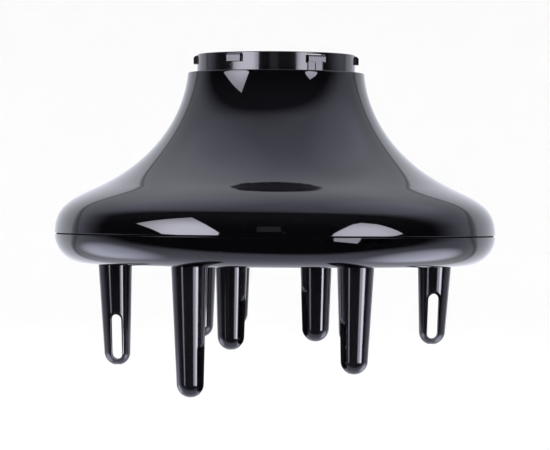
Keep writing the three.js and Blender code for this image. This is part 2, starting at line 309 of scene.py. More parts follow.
class Nodes:
    """Adds nodes to a material's tree, one call for each."""

    def __init__(self, name):
        self.made = bpy.data.materials.new(name)
        self.made.use_nodes = True
        self.tree = self.made.node_tree
        self.tree.nodes.clear()
        self.output = self.tree.nodes.new("ShaderNodeOutputMaterial")

    def add(self, kind, inputs=None, **settings):
        node = self.tree.nodes.new("ShaderNode" + kind)
        for key, value in settings.items():
            setattr(node, key, value)
        for key, value in (inputs or {}).items():
            self.feed(node.inputs[key], value)
        return node

    def feed(self, socket, value):
        if isinstance(value, bpy.types.NodeSocket):
            self.tree.links.new(value, socket)
        elif isinstance(value, bpy.types.Node):
            self.tree.links.new(value.outputs[0], socket)
        else:
            socket.default_value = value

    def maths(self, operation, first, second=0.0):
        return self.add("Math", {0: first, 1: second}, operation=operation).outputs[0]

    def product(self, *factors):
        total = factors[0]
        for factor in factors[1:]:
            total = self.maths("MULTIPLY", total, factor)
        return total

    def dimmed(self, light, share):
        """A light less a share of itself."""
        return self.maths("MULTIPLY", light, self.maths("SUBTRACT", 1.0, share))

    def vector_maths(self, operation, first, second=None):
        inputs = {0: first} if second is None else {0: first, 1: second}
        return self.add("VectorMath", inputs, operation=operation)

    def xyz(self, vector):
        return self.add("SeparateXYZ", {0: vector}).outputs

    def ramp(self, value, low, high, start=0.0, end=1.0, interpolation="SMOOTHSTEP"):
        ends = {"Value": value, "From Min": low, "From Max": high, "To Min": start, "To Max": end}
        return self.add("MapRange", ends, interpolation_type=interpolation).outputs[0]

    def mix(self, factor, first, second):
        node = self.add("Mix", data_type="RGBA")
        by_name = {socket.identifier: socket for socket in node.inputs}
        self.feed(by_name["Factor_Float"], factor)
        by_name["A_Color"].default_value = (*first, 1)
        by_name["B_Color"].default_value = (*second, 1)
        return next(socket for socket in node.outputs if socket.identifier == "Result_Color")

    def noise(self, vector, scale, detail=2.0, stretch=None):
        if stretch:
            vector = self.add("Mapping", {"Vector": vector, "Scale": stretch}).outputs[0]
        inputs = {"Vector": vector, "Scale": scale, "Detail": detail}
        return self.add("TexNoise", inputs).outputs["Fac"]

    def scratches(self, vector, angle, scale, thin):
        """Sparse hairline marks that run along one direction."""
        turned = self.add("Mapping", {"Vector": vector, "Rotation": angle, "Scale": (1.0, 9.0, 1.0)})
        lines = self.noise(turned.outputs[0], scale, 1.0)
        off = self.maths("ABSOLUTE", self.maths("SUBTRACT", lines, 0.5))
        patches = self.ramp(self.noise(vector, scale * 0.35, 1.0), 0.62, 0.68)
        return self.maths("MULTIPLY", self.ramp(off, thin, 0.0), patches)

    def specks(self, vector, scale, size, keep):
        """Sparse round dots: one in each cell of a loose grid, and only in some of the cells."""
        cells = self.add("TexVoronoi", {"Vector": vector, "Scale": scale})
        chance = self.add("SeparateColor", {0: cells.outputs["Color"]})
        kept = self.maths("LESS_THAN", chance.outputs[0], keep)
        return self.maths("MULTIPLY", self.ramp(cells.outputs["Distance"], size, size * 0.4), kept)


def groove_shade_mask(n, place):
    """1 on the bowl's skin; 0 in the seam's groove, where the gloss is turned off as painted shade."""
    near, far = GROOVE_SHADE_FADE
    x, y, z = n.xyz(place)
    radius = n.maths("SQRT", n.maths("ADD", n.maths("MULTIPLY", x, x), n.maths("MULTIPLY", y, y)))
    outer = n.ramp(radius, (SEAM_STEP_RADIUS + near) * MM, (SEAM_STEP_RADIUS + far) * MM)
    groove_bottom = SEAM_Z - SEAM_GAP / 2
    lower = n.ramp(z, (groove_bottom - near) * MM, (groove_bottom - far) * MM)
    return n.maths("MAXIMUM", outer, lower)


def black_plastic(name, roughness, wave, grain, marks, colour=BLACK, shine=None):
    """Moulded black plastic: mirror-like or satin, with handling marks and a little dust.

    wave and grain are the depths of the slow and the fine unevenness, marks is how much the
    handling marks show, and shine is a painted-shade mask that turns the gloss off where it is 0.
    """
    n = Nodes(name)
    place = n.add("TexCoord").outputs["Object"]
    cloudy = n.noise(place, 38.0, 3.0)
    hairs = n.maths("MAXIMUM", *(n.scratches(place, *hair_set) for hair_set in SCRATCH_SETS))
    dust = n.maths("MAXIMUM", *(n.specks(place, *speck_set) for speck_set in SPECK_SETS))
    worn = n.maths("MULTIPLY", n.maths("MAXIMUM", n.maths("MULTIPLY", hairs, 0.3), dust), marks)
    rough = n.ramp(cloudy, 0.3, 0.7, roughness * 0.8, roughness * 1.25)
    rough = n.maths("ADD", rough, n.maths("MULTIPLY", worn, 0.25))
    tint = n.mix(worn, colour, DUST)
    bump = n.add("Bump", {"Height": n.noise(place, 55.0, 1.0), "Strength": 0.5, "Distance": wave})
    fine = n.add("Bump", {"Height": n.noise(place, 2600.0, 2.0), "Strength": 0.5, "Distance": grain,
                          "Normal": bump})
    marked = n.add("Bump", {"Height": worn, "Strength": 0.4, "Distance": 0.000004, "Normal": fine})
    shader = n.add("BsdfPrincipled", {"Base Color": tint, "Roughness": rough, "IOR": PLASTIC_IOR,
                                      "Normal": marked})
    # Painted shade: the gloss is scaled by the shine mask, down to nothing where it is 0.
    if shine:
        n.feed(shader.inputs["Specular IOR Level"], n.maths("MULTIPLY", shine(n, place), 0.5))
    n.feed(n.output.inputs["Surface"], shader)
    return n.made


def plated_steel(name):
    """Zinc-plated steel with a turned grain and duller patches."""
    n = Nodes(name)
    place = n.add("TexCoord").outputs["Object"]
    patches = n.noise(place, 700.0, 4.0)
    grain = n.noise(place, 5000.0, 2.0, stretch=(1.0, 1.0, 6.0))
    tint = n.mix(patches, STEEL_DULL, STEEL_BRIGHT)
    bump = n.add("Bump", {"Height": grain, "Strength": 0.4, "Distance": 0.00001})
    shader = n.add("BsdfPrincipled", {"Base Color": tint, "Metallic": 1.0, "Normal": bump,
                                      "Roughness": n.ramp(grain, 0.2, 0.8, 0.24, 0.42)})
    n.feed(n.output.inputs["Surface"], shader)
    return n.made


gloss = black_plastic("gloss_black_plastic", 0.035, 0.000006, 0.0, 0.4)
# The bowl's gloss has painted shade in the seam's groove, where its reflection is turned off.
bowl_gloss_shaded_groove = black_plastic("bowl_black_plastic", 0.035, 0.000006, 0.0, 0.4, shine=groove_shade_mask)
collar_black = black_plastic("collar_black_plastic", 0.11, 0.00001, 0.0000004, 0.4, COLLAR_BLACK)
finger_black = black_plastic("finger_black_plastic", 0.1, 0.000008, 0.0000003, 0.5, FINGER_BLACK)
satin = black_plastic("satin_black_plastic", 0.3, 0.00001, 0.000002, 0.5)
steel = plated_steel("zinc_plated_steel")


# -------------------------------------------------------------------------- bell
def bezier(a, b, c, d, steps):
    points = []
    for i in range(steps + 1):
        t = i / steps
        u = 1 - t
        weights = (u ** 3, 3 * u * u * t, 3 * u * t * t, t ** 3)
        points.append(sum((Vector(p) * w for p, w in zip((a, b, c, d), weights)), Vector((0, 0))))
    return points


def evenly(line, steps):
    """Points at even distances along a finely stepped line."""
    lengths = [0.0]
    for a, b in zip(line, line[1:]):
        lengths.append(lengths[-1] + (b - a).length)
    points = []
    k = 0
    for i in range(steps + 1):
        wanted = lengths[-1] * i / steps
        while k < len(line) - 2 and lengths[k + 1] < wanted:
            k += 1
        part = (wanted - lengths[k]) / (lengths[k + 1] - lengths[k])
        points.append(line[k].lerp(line[k + 1], part))
    return points


def as_corners(points, first=0.0, last=0.0):
    """Outline corners from points, of which only the end ones take a fillet."""
    fillets = [0.0] * len(points)
    fillets[0], fillets[-1] = first, last
    return [(x, y, fillet) for (x, y), fillet in zip(points, fillets)]


def bell_skin(depth, steps):
    """Points down the bell's skin, moved inwards by a depth."""
    top = Vector((BELL_TOP_RADIUS, NECK_TOP - NECK_EDGE))
    bend = Vector(BEND)
    rim = Vector((RIM_RADIUS, SEAM_GAP / 2))
    down_top = Vector((math.sin(BELL_TOP_LEAN), -math.cos(BELL_TOP_LEAN)))
    down_bend = Vector((math.cos(BEND_SLOPE), -math.sin(BEND_SLOPE)))
    above_rim = rim + Vector((0, RIM_REACH))
    line = bezier(top, top + down_top * BELL_TOP_REACH, bend - down_bend * BEND_REACH_UP, bend, 600)
    line += bezier(bend, bend + down_bend * BEND_REACH_DOWN, above_rim, rim, 300)[1:]
    line = evenly(line, steps)
    moved = []
    for i, here in enumerate(line):
        along = (line[min(i + 1, len(line) - 1)] - line[max(i - 1, 0)]).normalized()
        moved.append(here + Vector((along.y, -along.x)) * depth)
    return moved


def bell_posts():
    """The three screw posts, trimmed so that their tops end within the bell's wall."""
    foot = PLATE_TOP + BOSS_HEIGHT + GAP
    core = [tuple(p) for p in reversed(bell_skin(WALL / 2, 36)) if p.y > CORE_FOOT]
    filled = turned("filled", [(0, CORE_FOOT), *core, (0, core[-1][1])], 96)
    posts = []
    for place in POST_PLACES:
        room = rod(POST_RADIUS + OVERLAP, TRIM_OVERLAP[0], POST_REACH + OVERLAP, place)
        combine(room, [new_copy(filled)], "INTERSECT")
        below = rod(POST_RADIUS + OVERLAP, foot - OVERLAP, TRIM_OVERLAP[1], place)
        combine(room, [below], "UNION")
        post = combine(rod(POST_RADIUS, foot, POST_REACH, place), [room], "INTERSECT")
        pilot = rod(SCREW_SHANK + GAP, foot - OVERLAP, foot + POST_PILOT, place)
        posts.append(combine(post, [pilot], "DIFFERENCE"))
    bpy.data.meshes.remove(filled.data)
    return posts


def make_bell():
    seat = NECK_TOP - NECK_LIP
    bore_end = RETAINER_FOOT - GAP
    outside = as_corners(bell_skin(0, 220)[1:], last=SEAM_FILLET)
    inside = as_corners([p for p in bell_skin(WALL, 60) if p.y < bore_end], last=SEAM_FILLET)
    outline = rounded([
        (NECK_BORE, NECK_TOP, 0.25), (BELL_TOP_RADIUS - 0.05, NECK_TOP, 0.3), *outside,
        *reversed(inside), (COUNTERBORE, bore_end, 0.2), (COUNTERBORE, seat, 0.1), (NECK_BORE, seat, 0.2),
    ])
    bell = combine(turned("bell", outline, 256), bell_posts(), "UNION")
    finished(bell, "bell_shell", "head", gloss, ["upper_bell"], crease=50)


def new_copy(obj):
    copy = obj.copy()
    copy.data = obj.data.copy()
    bpy.context.scene.collection.objects.link(copy)
    return copy


# ------------------------------------------------------------------------ collar
def lug(width, top, angle):
    """A lug with a chamfered top, on the collar's outside at an angle."""
    out = COLLAR_OUTER + LUG_REACH
    outline = [
        (COLLAR_OUTER - OVERLAP, LUG_BOTTOM), (out, LUG_BOTTOM), (out, top - LUG_CHAMFER),
        (COLLAR_OUTER + LUG_CHAMFER / 2, top), (COLLAR_OUTER - OVERLAP, top),
    ]
    return prism("lug", outline, -width / 2, width / 2, about_axis(angle))


def tee(margin, angle):
    """The latch's tee, grown by a margin, as a block across the collar's wall."""
    out = (COLLAR_INNER - 2 * OVERLAP, COLLAR_OUTER + 3 * OVERLAP)
    half_bar = LATCH_BAR / 2 + margin
    half_stem = LATCH_STEM / 2 + margin
    bar = block(out, (-half_bar, half_bar), (LUG_BOTTOM - margin, LATCH_TOP + margin), angle)
    stem = block(out, (-half_stem, half_stem), (LATCH_FOOT - margin, LATCH_TOP - OVERLAP / 2), angle)
    return combine(bar, [stem], "UNION")


def make_collar():
    flange_top = COLLAR_FOOT + FLANGE_HEIGHT
    outline = rounded([
        (COLLAR_INNER, COLLAR_FOOT, 0.3), (FLANGE_RADIUS, COLLAR_FOOT, 0.3),
        (FLANGE_RADIUS, flange_top, 0.2), (COLLAR_OUTER, flange_top, 0.2),
        (COLLAR_OUTER, COLLAR_TOP, 0.25), (COLLAR_INNER, COLLAR_TOP, 0.3),
    ])
    ring = turned("collar", outline, 240)
    combine(ring, [lug(LUG_WIDTH, LUG_TOP, i * SIXTH) for i in (0, 1, 3, 4)], "UNION")
    combine(ring, [tee(LATCH_SLIT, angle) for angle in LATCHES.values()], "DIFFERENCE")
    finished(ring, "collar_ring", "collar", collar_black, ["snap_collar"], edge=0.1)


def make_latch(name, angle):
    """A sprung tongue: a flat-faced tee of the collar's wall, scored down its stem, with a lug."""
    outline = rounded([
        (COLLAR_INNER, LATCH_FOOT, 0.2), (COLLAR_OUTER, LATCH_FOOT, 0.2),
        (COLLAR_OUTER, LATCH_TOP, 0.2), (COLLAR_INNER, LATCH_TOP, 0.2),
    ])
    wall = turned("latch", outline, 240)
    combine(wall, [tee(0, angle)], "INTERSECT")
    flat = block((COLLAR_OUTER - LATCH_FLAT, COLLAR_OUTER + OVERLAP), (-LATCH_BAR, LATCH_BAR),
                 (LATCH_FOOT - OVERLAP, LATCH_TOP + OVERLAP), angle)
    combine(wall, [flat], "DIFFERENCE")
    combine(wall, [lug(LATCH_BAR, LATCH_TOP, angle)], "UNION")
    score = block((COLLAR_OUTER - SCORE_DEPTH, COLLAR_OUTER + OVERLAP), (-SCORE_WIDTH / 2, SCORE_WIDTH / 2),
                  (LATCH_FOOT - OVERLAP, LUG_BOTTOM - GAP), angle)
    combine(wall, [score], "DIFFERENCE")
    finished(wall, name + "_tongue", name, collar_black, [name], edge=0.1)


def make_retainer():
    outer = COUNTERBORE - GAP
    outline = rounded([
        (RETAINER_BORE, RETAINER_FOOT, 0.3), (outer, RETAINER_FOOT, 0.3),
        (outer, RETAINER_TOP, 0.3), (RETAINER_BORE, RETAINER_TOP, 0.3),
    ])
    ring = turned("retainer", outline)
    finished(ring, "retainer_ring", "head", satin, ["collar_retainer"])


# -------------------------------------------------------------------------- bowl
def vent_places():
    """Places of the vents between the fingers, less those that the bell's screws take."""
    places = []
    for i in range(6):
        for radius, turns in VENT_ROWS:
            for turn in turns:
                angle = (i + 0.5) * SIXTH + math.radians(turn)
                taken = any(radius == r and abs(angle - a) < SAME_ANGLE for r, a in POST_PLACES)
                if not taken:
                    places.append((radius, angle))
    return places


def rim_arc(steps):
    """A quarter of an ellipse, from the seam round to the bottom of the rim."""
    first = math.asin(SEAM_GAP / 2 / TUBE_DEPTH)
    turns = [first + (math.pi / 2 - first) * i / steps for i in range(steps + 1)]
    reach = RIM_RADIUS - TUBE_RADIUS
    return [(TUBE_RADIUS + reach * math.cos(turn), -TUBE_DEPTH * math.sin(turn)) for turn in turns]


def bowl_shell():
    lead = bezier((TUBE_RADIUS, -TUBE_DEPTH), (TUBE_RADIUS - TUBE_REACH, -TUBE_DEPTH),
                  (PLATE_RADIUS + PLATE_REACH, PLATE_BOTTOM), (PLATE_RADIUS, PLATE_BOTTOM), 12)
    return turned("bowl", rounded([
        *as_corners(rim_arc(40), first=SEAM_FILLET), *as_corners(lead[1:]),
        (0, PLATE_BOTTOM, 0), (0, PLATE_TOP, 0), (SPIGOT_INNER - SPIGOT_FILLET, PLATE_TOP, 0.8),
        (SPIGOT_INNER, SPIGOT_FOOT, 1.0), (SPIGOT_INNER, SPIGOT_TOP, 0.4), (SPIGOT_OUTER, SPIGOT_TOP, 0.4),
        (SPIGOT_OUTER, SEAM_STEP_TOP, 0.05), (SEAM_STEP_RADIUS, SEAM_STEP_TOP, 0.05),
        (SEAM_STEP_RADIUS, -SEAM_GAP / 2, 0.05),
    ]), 256)


def bowl_cuts(shell_screws, spider_screws):
    """Everything that is cut out of the bowl's plate."""
    low, high = PLATE_BOTTOM - OVERLAP, PLATE_TOP + BOSS_HEIGHT + OVERLAP
    cuts = [rod(VENT_RADIUS, low, high, place) for place in vent_places()]
    for ring in FINGER_RINGS.values():
        hole = ring["base"] + FINGER_CLEARANCE
        cuts += [rod(hole, low, high, place, 64) for place in ring_of_six(ring["radius"])]
    cuts += [rod(CENTRE_VENT_RADIUS, low, high, place) for place in ring_of_six(CENTRE_VENT_PLACE)]
    for place in shell_screws:
        shank = rod(SCREW_SHANK + GAP, low, high, place)
        head = rod(SCREW_HEAD + GAP, low - OVERLAP, PLATE_BOTTOM + RECESS, place)
        cuts.append(combine(shank, [head], "UNION"))
    cuts += [rod(SCREW_SHANK + GAP, PLATE_BOTTOM + OVERLAP, high, place, 32) for place in spider_screws]
    return cuts


def make_bowl():
    shell_screws = [*POST_PLACES, (0, 0)]
    spider_screws = ring_of_six(SPIDER_SCREWS)
    bosses = [rod(BOSS_RADIUS, PLATE_TOP - OVERLAP, PLATE_TOP + BOSS_HEIGHT, place)
              for place in shell_screws + spider_screws]
    bowl = combine(bowl_shell(), bosses, "UNION")
    combine(bowl, bowl_cuts(shell_screws, spider_screws), "DIFFERENCE")
    finished(bowl, "rim_bowl", "head", bowl_gloss_shaded_groove, ["lower_bowl"], edge=0.2, crease=50)


# ----------------------------------------------------------------------- fingers
def stadium(half_width, bottom, top, steps=14):
    """An upright slot outline with round ends."""
    points = []
    for centre, start in ((top - half_width, 0.0), (bottom + half_width, math.pi)):
        for k in range(steps + 1):
            turn = start + math.pi * k / steps
            points.append((half_width * math.cos(turn), centre + half_width * math.sin(turn)))
    return points


def slot_cutter(tip):
    """A slot along the Y axis, right through a finger, whose mouths open out towards the skin."""
    bottom, top, half = tip + SLOT_BOTTOM, tip + SLOT_TOP, SLOT_WIDTH / 2
    mouth = 4 * SLOT_FLARE
    sections = ((-SLOT_REACH, mouth), (-SLOT_FLARE_FROM, 0.0), (SLOT_FLARE_FROM, 0.0), (SLOT_REACH, mouth))
    vertices = []
    for y, extra in sections:
        vertices += [(x, y, z) for x, z in stadium(half + extra, bottom - extra, top + extra)]
    count = len(vertices) // len(sections)
    faces = [list(range(count)), list(range(4 * count - 1, 3 * count - 1, -1))]
    for r in range(3):
        for i in range(count):
            n = (i + 1) % count
            faces.append([r * count + i, (r + 1) * count + i, (r + 1) * count + n, r * count + n])
    return outward(new_object("slot", vertices, faces))


def groove_cutter(tip):
    """A shallow channel that carries on from the slot's mouths, right over the fingertip."""
    steps = 32
    turns = [math.radians(GROOVE_TURN) * (2 * k / steps - 1) for k in range(steps + 1)]
    outline = []
    for radius, order in ((TIP_RADIUS + OVERLAP, 1), (TIP_RADIUS - GROOVE_DEPTH, -1)):
        for turn in turns[::order]:
            outline.append((radius * math.sin(turn), tip + TIP_RADIUS - radius * math.cos(turn)))
    return prism("groove", outline, -GROOVE_WIDTH / 2, GROOVE_WIDTH / 2, lambda y, z, x: (x, y, z))


def finger_skin(base, tip):
    """A hollow finger on the Z axis: a flange, a taper and a round tip."""
    under = PLATE_TOP + GAP
    top = under + FLANGE_THICK
    steps = 24
    turns = [math.pi / 2 * (1 - k / steps) for k in range(steps + 1)]
    dome = [(TIP_RADIUS * math.sin(turn), tip + TIP_RADIUS * (1 - math.cos(turn))) for turn in turns]
    bore = TIP_RADIUS - FINGER_WALL
    return turned("finger", rounded([
        (base - FINGER_WALL, top, 0.3), (base + FLANGE_REACH, top, 0.2), (base + FLANGE_REACH, under, 0.2),
        (base, under, 0.1), *as_corners(dome), (0, tip + FINGER_WALL, 0),
        (bore, tip + FINGER_WALL, bore * 0.8), (bore, tip + TIP_RADIUS + OVERLAP, 0),
    ]), 96)


def make_finger(kind, index):
    ring = FINGER_RINGS[kind]
    node = f"{kind}_finger_{index + 1}"
    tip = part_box(node)[0].z / MM - SEAM_Z
    finger = finger_skin(ring["base"], tip)
    combine(finger, [slot_cutter(tip), groove_cutter(tip)], "DIFFERENCE")
    to_place = about_axis(index * SIXTH, ring["radius"])
    for vertex in finger.data.vertices:
        x, y, z = vertex.co.x / MM, vertex.co.y / MM, vertex.co.z / MM - SEAM_Z
        x += ring["lean"] * min(0.0, z - PLATE_BOTTOM)
        x, y, z = to_place(x, z, y)
        vertex.co = (x * MM, y * MM, (z + SEAM_Z) * MM)
    finished(finger, f"{kind}_prong_{index + 1}", "head", finger_black, [node], crease=30)


# ------------------------------------------------------------- inside and screws
def make_deflector():
    foot = PLATE_TOP + BOSS_HEIGHT + GAP
    start = Vector((DEFLECTOR_RADIUS, DEFLECTOR_RIM + DEFLECTOR_EDGE))
    mid = Vector((DEFLECTOR_RADIUS / 3, DEFLECTOR_RIM + 2 * DEFLECTOR_EDGE))
    end = Vector((0, DEFLECTOR_APEX))
    shares = [i / 32 for i in range(33)]
    dome = [start * (1 - t) ** 2 + mid * (2 * t * (1 - t)) + end * t * t for t in shares]
    bore = SCREW_SHANK + GAP
    outline = rounded([
        (0, foot + POST_PILOT, 0), (bore, foot + POST_PILOT, 0), (bore, foot, 0.2),
        (DEFLECTOR_POST, foot, 0.3), (DEFLECTOR_POST, DEFLECTOR_RIM - DEFLECTOR_POST_RISE, 0.8),
        (DEFLECTOR_RADIUS, DEFLECTOR_RIM, 0.4), *as_corners(dome, first=0.4),
    ])
    deflector = turned("deflector", outline)
    finished(deflector, "deflector_dome", "head", satin, ["air_deflector"])


def make_spider():
    bottom = PLATE_TOP + 2 * GAP + FLANGE_THICK
    top = bottom + SPIDER_THICK
    low, high = bottom - OVERLAP, top + OVERLAP
    section = [(SPIDER_BORE, bottom), (SPIDER_RING, bottom), (SPIDER_RING, top), (SPIDER_BORE, top)]
    hub = turned("hub", section)
    reach, half = (SPIDER_BORE + 2 * OVERLAP, SPIDER_END), SPIDER_ARM / 2
    combine(hub, [block(reach, (-half, half), (bottom, top), i * SIXTH) for i in range(6)], "UNION")
    holes = [(ring["base"] - FINGER_WALL, ring["radius"]) for ring in FINGER_RINGS.values()]
    holes.append((SCREW_SHANK + GAP, SPIDER_SCREWS))
    cuts = [rod(hole, low, high, place) for hole, radius in holes for place in ring_of_six(radius)]
    combine(hub, cuts, "DIFFERENCE")
    finished(hub, "spider_plate", "head", satin, ["finger_spider"], edge=0.25)


def cross_arm(centre, angle, face, direction):
    """One arm of a screw's cross recess, shorter at its floor."""
    c, s = math.cos(angle), math.sin(angle)
    above, floor = face + direction * OVERLAP, face - direction * CROSS_DEPTH
    profile = [(-CROSS_REACH, above), (CROSS_REACH, above), (CROSS_FLOOR, floor), (-CROSS_FLOOR, floor)]

    def to_point(along, up, across):
        return (centre[0] + along * c - across * s, centre[1] + along * s + across * c, up)

    return prism("cross", profile, -CROSS_WIDTH / 2, CROSS_WIDTH / 2, to_point)


def make_screw(node, place, seat, direction, length):
    """A pan-head screw with a cross recess; its head lies from the seat outwards."""
    face = seat + direction * SCREW_HEAD_HEIGHT
    tip = seat - direction * length
    outline = rounded([
        (0, face, 0), (SCREW_HEAD, face, 0.7), (SCREW_HEAD, seat, 0.1), (SCREW_SHANK, seat, 0),
        (SCREW_SHANK, tip + direction * SCREW_SHANK, 0), (SCREW_POINT, tip, 0), (0, tip, 0),
    ])
    centre = polar(*place)
    screw = turned("screw", outline, 64, centre)
    turns = (CROSS_TURN, CROSS_TURN + math.pi / 2)
    combine(screw, [cross_arm(centre, turn, face, direction) for turn in turns], "DIFFERENCE")
    finished(screw, node.replace("screw", "fixing"), "head", steel, [node], edge=0.05)


def make_screws():
    recess_face = PLATE_BOTTOM + RECESS - GAP
    for i, place in enumerate(POST_PLACES):
        make_screw(f"bell_screw_{i + 1}", place, recess_face, -1, SHELL_SCREW)
    make_screw("deflector_screw_1", (0, 0), recess_face, -1, SHELL_SCREW)
    spider_top = PLATE_TOP + 3 * GAP + FLANGE_THICK + SPIDER_THICK
    for i, place in enumerate(ring_of_six(SPIDER_SCREWS)):
        make_screw(f"spider_screw_{i + 1}", place, spider_top, 1, SPIDER_SCREW)


make_bell()
make_collar()
for latch_name, latch_angle in LATCHES.items():
    make_latch(latch_name, latch_angle)
make_retainer()
make_bowl()
for ring_kind in FINGER_RINGS:
    for finger_index in range(6):
        make_finger(ring_kind, finger_index)
make_deflector()
make_spider()
make_screws()


# ------------------------------------------------------------------------- stage
def hide_from(obj, *rays):
    for ray in rays:
        setattr(obj, "visible_" + ray, False)


def mirrored_only(obj):
    """Keeps a stage piece out of every view but the gloss of the object."""
    hide_from(obj, "camera", "diffuse", "shadow", "transmission", "volume_scatter")


# The sizes of the stage's meshes are in millimetres, and angles are in degrees.
FLOOR_DROP, FLOOR_RADIUS, COVE_RADIUS, WALL_HEIGHT = 125.0, 2600.0, 800.0, 3200.0
ROOM_RADIUS = 3000.0
TENT_RADIUS, TENT_HEIGHT = 260.0, 40.0
FAR_CARD = 2500.0
FAR_CARD_HEIGHTS = (150, 240)
CAMERA_LENS, CAMERA_DISTANCE, CAMERA_HEIGHT = 191.5, 1000.0, 8.72
CAMERA_TURNS = (0.8, -0.31, 0.42)

FLOOR_COLOUR, WORLD_STRENGTH = (0.9, 0.9, 0.9), 1.36
TENT_TINT, BACK_TINT, ROOM_TINT = (0.94, 0.95, 1.2), (0.97, 0.99, 1.1), (1.0, 0.95, 1.25)
CARD_TINT = (1.0, 0.99, 1.15)

# The lengths that the glowing materials take are in metres: x to the right, y away from the
# camera, and heights from the seam, or from the frame's origin for ROOM_GLOW. In a group of
# four, the values at two limits follow them.
TINT_DEPTHS = (0.03, 0.16)
ROOM_GLOW = (0.3, 2.4, 0.02, 0.1)
HOT_SPOT_CORE = 0.05
EDGE_DEPTH = 0.018
ARCH_TOP, ARCH_HEIGHT, ARCH_POWER, ARCH_REACH = 0.24, 0.235, 2.6, 0.19
SLANT = (0.05, 0.13, 0.07, 0.17)
FLARE = (0.05, 0.2, 0.7, 0.9)
LOW_LEFT_DEPTHS, LOW_LEFT_SIDES = (0.0, 0.03, 0.0, 0.035), (0.1, -0.1)
EDGE_SOFTNESS = (0.0, 0.1, 0.07, 0.035)

PANEL_WIDTH, PANEL_HEIGHT, PANEL_MIDDLE, PANEL_POWER = 0.242, 0.149, 0.024, 2.3
PANEL_DEPTHS = (0.03, 0.08)
CLOTH_LIGHT, PANEL_LIGHT, SEAM_SHADE, FOLD_SHADE = 1.02, 0.1, 0.45, 0.3

# Azimuth, elevation and strength of each lit patch, and the angles from its middle where it starts
# to fade and where it is gone.
TENT_PATCHES = (
    (-98, -42, 2.6, 4, 22), (99, -49, 3.0, 4, 22), (-104, 62, 0.25, 5, 30), (94, 48, 0.3, 5, 30),
    (180, -60, 0.25, 10, 50),
)
HOLE_ELEVATION, HOLE_HALF_WIDTH, HOLE_HALF_HEIGHT, HOLE_SHADE = 52.0, 9.7, 6.8, 0.95


def ball_mesh(name, radius, height):
    outline = [(0, height - radius)]
    for degrees in range(-85, 90, 5):
        turn = math.radians(degrees)
        outline.append((radius * math.cos(turn), height + radius * math.sin(turn)))
    outline.append((0, height + radius))
    ball = turned(name, outline, 64)
    mirrored_only(ball)
    ball.data.shade_smooth()
    return ball


def towards(n, unit, azimuth, elevation):
    """How nearly a point of the tent lies in a direction; azimuth 0 is the front."""
    a, e = math.radians(azimuth), math.radians(elevation)
    direction = (math.sin(a) * math.cos(e), -math.cos(a) * math.cos(e), math.sin(e))
    return n.vector_maths("DOT_PRODUCT", unit, direction).outputs["Value"]


def spot(n, unit, azimuth, elevation, inner, outer):
    """A round patch of the tent, full inside one angle from its middle and gone at the other."""
    edges = math.cos(math.radians(outer)), math.cos(math.radians(inner))
    return n.ramp(towards(n, unit, azimuth, elevation), *edges)


def oval(n, unit, elevation, half_width, half_height):
    """An oval straight behind the object, at an elevation; its sizes are in degrees too."""
    e = math.radians(elevation)
    grow = 1 / math.sin(math.radians(half_height))
    rightwards = (1 / math.sin(math.radians(half_width)), 0, 0)
    upwards = (0, -math.sin(e) * grow, math.cos(e) * grow)
    squares = []
    for axis in (rightwards, upwards):
        off = n.vector_maths("DOT_PRODUCT", unit, axis).outputs["Value"]
        squares.append(n.maths("MULTIPLY", off, off))
    behind = n.ramp(towards(n, unit, 180, elevation), 0.5, 0.6)
    return n.maths("MULTIPLY", n.ramp(n.maths("ADD", *squares), 1.15, 0.85), behind)


def tent_cloth(n, x, y, height):
    """1 where the cloth hangs and 0 in the tent's open front, with a soft edge between them."""
    above = n.maths("MINIMUM", n.maths("MAXIMUM", height, 0.0), ARCH_TOP)
    below = n.maths("MAXIMUM", n.maths("MULTIPLY", height, -1.0), 0.0)
    slant = n.product(x, n.ramp(height, *SLANT))
    arch = n.product(n.maths("POWER", n.maths("DIVIDE", above, ARCH_HEIGHT), ARCH_POWER), ARCH_REACH)
    flare = n.product(below, n.ramp(n.maths("ABSOLUTE", x), *FLARE))
    low_left = n.product(n.ramp(below, *LOW_LEFT_DEPTHS), n.ramp(x, *LOW_LEFT_SIDES))
    edge = EDGE_DEPTH
    for forwards in (slant, arch, flare, low_left):
        edge = n.maths("SUBTRACT", edge, forwards)
    inside = n.maths("DIVIDE", n.maths("SUBTRACT", y, edge), n.ramp(below, *EDGE_SOFTNESS))
    return n.ramp(inside, -1.0, 1.0)


def cloth_light(n, x, y, height):
    """How brightly the cloth shines: it has a brighter panel at the back, sewn in with a dark seam."""
    across = n.maths("DIVIDE", n.maths("ABSOLUTE", x), PANEL_WIDTH)
    off_middle = n.maths("ABSOLUTE", n.maths("SUBTRACT", height, PANEL_MIDDLE))
    upward = n.maths("DIVIDE", off_middle, PANEL_HEIGHT)
    powers = [n.maths("POWER", off, PANEL_POWER) for off in (across, upward)]
    panel = n.maths("POWER", n.maths("ADD", *powers), 1 / PANEL_POWER)
    back = n.ramp(y, *PANEL_DEPTHS)
    seam = n.product(n.ramp(n.maths("ABSOLUTE", n.maths("SUBTRACT", panel, 1.0)), 0.035, 0.01), back)
    fold = n.product(n.ramp(panel, 1.45, 1.05), n.ramp(panel, 0.99, 1.01))
    light = n.maths("ADD", CLOTH_LIGHT, n.product(n.ramp(panel, 1.02, 0.98), back, PANEL_LIGHT))
    light = n.dimmed(light, n.maths("MULTIPLY", seam, SEAM_SHADE))
    return n.dimmed(light, n.maths("MULTIPLY", fold, FOLD_SHADE))


